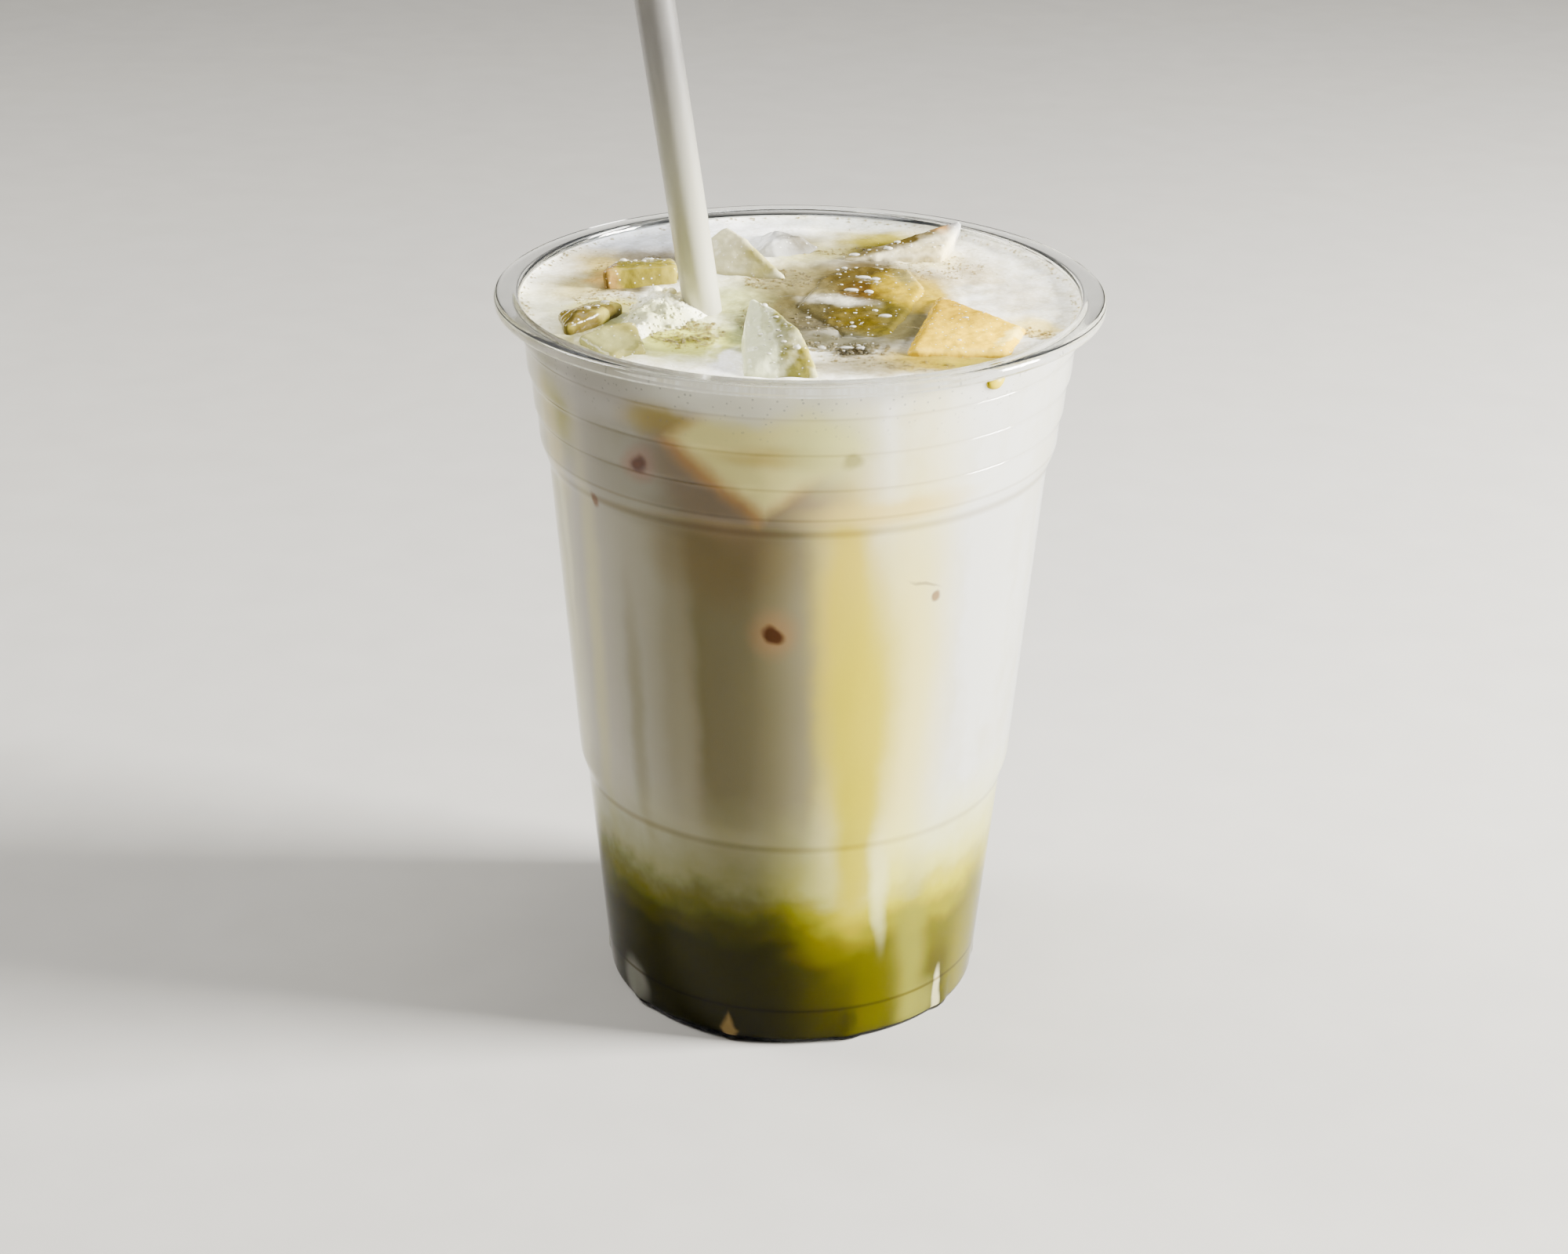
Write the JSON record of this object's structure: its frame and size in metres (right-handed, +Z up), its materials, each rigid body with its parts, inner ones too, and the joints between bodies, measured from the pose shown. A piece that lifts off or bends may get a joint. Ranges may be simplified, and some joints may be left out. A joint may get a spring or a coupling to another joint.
{
  "type": "iced matcha latte",
  "caption": "Iced milk drink over a green matcha layer in a clear stepped plastic cup, with ice, foam and a leaning straw.",
  "frame": {"origin": "on the surface that the cup stands on, at the middle of the cup", "axes": "+Z up along the cup's axis, +X to the right of someone who faces the cup, -Y towards them"},
  "size_m": [0.098, 0.098, 0.2102],
  "materials": {
    "clear_plastic": "clear and glossy",
    "milk": "smooth wet liquid",
    "matcha": "smooth wet liquid",
    "milk_foam": "bubbly",
    "ice": "wet, cloudy",
    "straw_plastic": "milky, translucent"
  },
  "bodies": {
    "root": {"cup": "clear_plastic", "milk": "milk", "matcha": "matcha", "foam": "milk_foam", "straw": "straw_plastic", "ice_right": "ice", "ice_centre": "ice", "ice_back_right": "ice", "ice_back_left": "ice", "ice_back_dome": "ice", "ice_front": "ice", "ice_left_ridge": "ice", "ice_left_front": "ice", "ice_left_back": "ice"}
  },
  "joints": []
}
